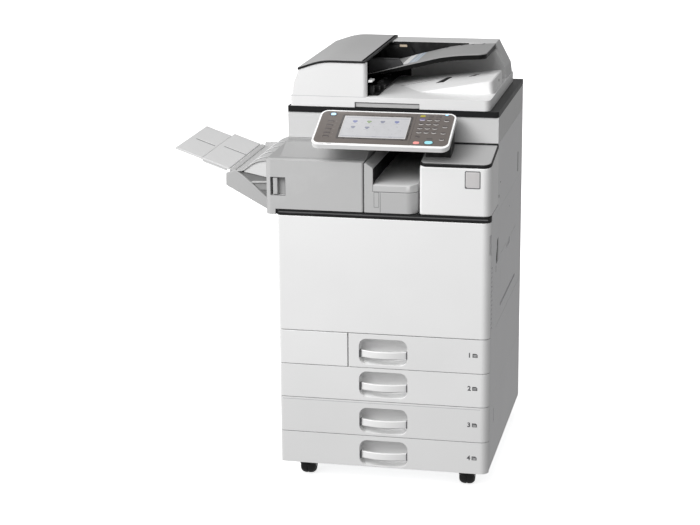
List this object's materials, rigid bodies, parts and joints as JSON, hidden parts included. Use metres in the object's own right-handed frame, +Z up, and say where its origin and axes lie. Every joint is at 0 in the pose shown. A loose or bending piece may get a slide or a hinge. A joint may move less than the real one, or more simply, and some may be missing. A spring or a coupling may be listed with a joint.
{
  "type": "photocopier",
  "caption": "Floor-standing colour photocopier on casters with paper drawers, document feeder, tilting touch panel and a side finisher with a folding output tray.",
  "frame": {"origin": "middle of the whole machine's footprint, on the floor under the caster wheels", "axes": "+X to the machine's right as its user faces it, +Y to its back, +Z up"},
  "size_m": [0.8844, 0.7138, 1.175],
  "materials": {
    "white_plastic": "fine satin texture",
    "light_grey_plastic": "fine satin texture",
    "grey_plastic": "fine satin texture",
    "black_plastic": "satin",
    "frame_steel": "zinc plated sheet",
    "wheel_rubber": "matt",
    "roller_rubber": "matt",
    "platen_glass": "polished",
    "pad_white": "soft matt sheet",
    "panel_face": "satin with fine texture",
    "screen": "glossy display",
    "bottle_plastic": "milky",
    "toner_caps": "satin",
    "key_blue": "translucent lit key",
    "key_red": "translucent key",
    "key_teal": "translucent lit key",
    "key_dark": "satin"
  },
  "bodies": {
    "root": {"base_plate": "frame_steel", "feeder_frame": "frame_steel", "main_frame": "frame_steel", "left_cover": "white_plastic", "rear_cover": "white_plastic", "right_cover": "white_plastic", "waste_toner_bottle": "bottle_plastic", "toner_cartridges": "toner_caps", "fuser_unit": "black_plastic", "body_trim": "black_plastic", "exit_unit": "light_grey_plastic", "right_top_cover": "white_plastic", "scanner_body": "white_plastic", "platen_frame": "black_plastic", "platen_glass": "platen_glass", "panel_bracket": "black_plastic"},
    "drawer_1": {"drawer_1_front": "white_plastic", "drawer_1_tray": "light_grey_plastic"},
    "drawer_2": {"drawer_2_front": "white_plastic", "drawer_2_tray": "light_grey_plastic"},
    "drawer_3": {"drawer_3_front": "white_plastic", "drawer_3_tray": "light_grey_plastic"},
    "drawer_4": {"drawer_4_front": "white_plastic", "drawer_4_tray": "light_grey_plastic"},
    "front_door": {"front_door": "white_plastic"},
    "waste_toner_door": {"waste_toner_door": "white_plastic"},
    "right_door": {"right_door": "white_plastic"},
    "bypass_tray": {"bypass_tray": "white_plastic"},
    "feeder_door": {"feeder_door": "white_plastic"},
    "caster_front_left": {"caster_fork_front_left": "black_plastic"},
    "wheel_front_left": {"caster_wheel_front_left": "wheel_rubber"},
    "caster_front_right": {"caster_fork_front_right": "black_plastic"},
    "wheel_front_right": {"caster_wheel_front_right": "wheel_rubber"},
    "caster_rear_left": {"caster_fork_rear_left": "black_plastic"},
    "wheel_rear_left": {"caster_wheel_rear_left": "wheel_rubber"},
    "caster_rear_right": {"caster_fork_rear_right": "black_plastic"},
    "wheel_rear_right": {"caster_wheel_rear_right": "wheel_rubber"},
    "finisher": {"finisher_body": "light_grey_plastic", "output_tray_base": "light_grey_plastic"},
    "finisher_cover": {"finisher_cover": "light_grey_plastic"},
    "output_tray": {"output_tray_plate": "light_grey_plastic"},
    "output_tray_extension": {"output_tray_extension": "light_grey_plastic"},
    "scan_carriage": {"scan_carriage": "black_plastic"},
    "platen_lid": {"platen_lid": "white_plastic", "platen_pad": "pad_white", "feeder_housing": "white_plastic", "feeder_rear_housing": "grey_plastic", "document_exit_tray": "light_grey_plastic"},
    "feed_cover": {"feed_cover": "grey_plastic"},
    "document_tray": {"document_tray": "grey_plastic"},
    "fence_front": {"document_fence_front": "black_plastic"},
    "fence_rear": {"document_fence_rear": "black_plastic"},
    "pickup_roller": {"pickup_roller": "roller_rubber"},
    "operation_panel": {"panel_case": "white_plastic", "panel_face": "panel_face", "touch_screen": "screen", "keypad": "key_dark"},
    "home_key": {"home_key": "key_blue"},
    "start_key": {"start_key": "key_teal"},
    "stop_key": {"stop_key": "key_red"}
  },
  "joints": [
    {"name": "drawer_1_slide", "type": "slide", "parent": "root", "child": "drawer_1", "axis": [0, -1, 0], "range_m": [0, 0.42]},
    {"name": "drawer_2_slide", "type": "slide", "parent": "root", "child": "drawer_2", "axis": [0, -1, 0], "range_m": [0, 0.42]},
    {"name": "drawer_3_slide", "type": "slide", "parent": "root", "child": "drawer_3", "axis": [0, -1, 0], "range_m": [0, 0.42]},
    {"name": "drawer_4_slide", "type": "slide", "parent": "root", "child": "drawer_4", "axis": [0, -1, 0], "range_m": [0, 0.42]},
    {"name": "front_door_hinge", "type": "hinge", "parent": "root", "child": "front_door", "pos_m": [-0.1378, -0.32113, 0.442], "axis": [0, 0, -1], "range_deg": [0, 100]},
    {"name": "waste_toner_door_hinge", "type": "hinge", "parent": "root", "child": "waste_toner_door", "pos_m": [-0.1378, -0.32113, 0.344], "axis": [0, 0, -1], "range_deg": [0, 95]},
    {"name": "right_door_hinge", "type": "hinge", "parent": "root", "child": "right_door", "pos_m": [0.4392, 0.32787, 0.442], "axis": [0, 0, 1], "range_deg": [0, 85]},
    {"name": "bypass_tray_hinge", "type": "hinge", "parent": "right_door", "child": "bypass_tray", "pos_m": [0.4372, 0.05437, 0.4835], "axis": [0, 1, 0], "range_deg": [0, 75]},
    {"name": "feeder_door_hinge", "type": "hinge", "parent": "root", "child": "feeder_door", "pos_m": [0.4392, 0.32787, 0.062], "axis": [0, 0, 1], "range_deg": [0, 85]},
    {"name": "caster_swivel_front_left", "type": "hinge", "parent": "root", "child": "caster_front_left", "pos_m": [-0.0793, -0.27763, 0.055], "axis": [0, 0, 1], "continuous": true},
    {"name": "wheel_spin_front_left", "type": "hinge", "parent": "caster_front_left", "child": "wheel_front_left", "pos_m": [-0.0793, -0.26363, 0.025], "axis": [1, 0, 0], "continuous": true},
    {"name": "caster_swivel_front_right", "type": "hinge", "parent": "root", "child": "caster_front_right", "pos_m": [0.3767, -0.27763, 0.055], "axis": [0, 0, 1], "continuous": true},
    {"name": "wheel_spin_front_right", "type": "hinge", "parent": "caster_front_right", "child": "wheel_front_right", "pos_m": [0.3767, -0.26363, 0.025], "axis": [1, 0, 0], "continuous": true},
    {"name": "caster_swivel_rear_left", "type": "hinge", "parent": "root", "child": "caster_rear_left", "pos_m": [-0.0793, 0.30637, 0.055], "axis": [0, 0, 1], "continuous": true},
    {"name": "wheel_spin_rear_left", "type": "hinge", "parent": "caster_rear_left", "child": "wheel_rear_left", "pos_m": [-0.0793, 0.32037, 0.025], "axis": [1, 0, 0], "continuous": true},
    {"name": "caster_swivel_rear_right", "type": "hinge", "parent": "root", "child": "caster_rear_right", "pos_m": [0.3767, 0.30637, 0.055], "axis": [0, 0, 1], "continuous": true},
    {"name": "wheel_spin_rear_right", "type": "hinge", "parent": "caster_rear_right", "child": "wheel_rear_right", "pos_m": [0.3767, 0.32037, 0.025], "axis": [1, 0, 0], "continuous": true},
    {"name": "finisher_slide", "type": "slide", "parent": "root", "child": "finisher", "axis": [-1, 0, 0], "range_m": [0, 0.15]},
    {"name": "finisher_cover_hinge", "type": "hinge", "parent": "finisher", "child": "finisher_cover", "pos_m": [0.0897, -0.32313, 0.786], "axis": [0, 0, 1], "range_deg": [0, 90]},
    {"name": "output_tray_fold", "type": "hinge", "parent": "finisher", "child": "output_tray", "pos_m": [-0.29093, -0.11588, 0.8828], "axis": [0, 1, 0], "range_deg": [0, 70]},
    {"name": "output_tray_extension_fold", "type": "hinge", "parent": "output_tray", "child": "output_tray_extension", "pos_m": [-0.36508, -0.13088, 0.91157], "axis": [0, 1, 0], "range_deg": [0, 165]},
    {"name": "scan_carriage_slide", "type": "slide", "parent": "root", "child": "scan_carriage", "axis": [1, 0, 0], "range_m": [0, 0.44]},
    {"name": "platen_lid_hinge", "type": "hinge", "parent": "root", "child": "platen_lid", "pos_m": [0.1487, 0.31987, 1.06], "axis": [-1, 0, 0], "range_deg": [0, 60]},
    {"name": "feed_cover_hinge", "type": "hinge", "parent": "platen_lid", "child": "feed_cover", "pos_m": [-0.1133, 0.05937, 1.1525], "axis": [0, -1, 0], "range_deg": [0, 70]},
    {"name": "document_tray_hinge", "type": "hinge", "parent": "platen_lid", "child": "document_tray", "pos_m": [0.0417, 0.11187, 1.101], "axis": [0, -1, 0], "range_deg": [0, 12]},
    {"name": "fence_front_slide", "type": "slide", "parent": "document_tray", "child": "fence_front", "axis": [0, 1, 0], "range_m": [0, 0.07]},
    {"name": "fence_rear_slide", "type": "slide", "parent": "document_tray", "child": "fence_rear", "axis": [0, -1, 0], "range_m": [0, 0.07]},
    {"name": "pickup_roller_spin", "type": "hinge", "parent": "platen_lid", "child": "pickup_roller", "pos_m": [-0.0033, 0.11437, 1.137], "axis": [0, 1, 0], "continuous": true},
    {"name": "panel_tilt", "type": "hinge", "parent": "root", "child": "operation_panel", "pos_m": [0.1437, -0.20763, 1.012], "axis": [-1, 0, 0], "range_deg": [0, 20]},
    {"name": "home_key_press", "type": "slide", "parent": "operation_panel", "child": "home_key", "axis": [0, 0.3811, -0.9245], "range_m": [0, 0.001], "stiffness_N_per_m": 1200},
    {"name": "start_key_press", "type": "slide", "parent": "operation_panel", "child": "start_key", "axis": [0, 0.3811, -0.9245], "range_m": [0, 0.001], "stiffness_N_per_m": 1200},
    {"name": "stop_key_press", "type": "slide", "parent": "operation_panel", "child": "stop_key", "axis": [0, 0.3811, -0.9245], "range_m": [0, 0.001], "stiffness_N_per_m": 1200}
  ],
  "couplings": [
    {"joint": "fence_rear_slide", "follows": "fence_front_slide", "ratio": 1}
  ]
}
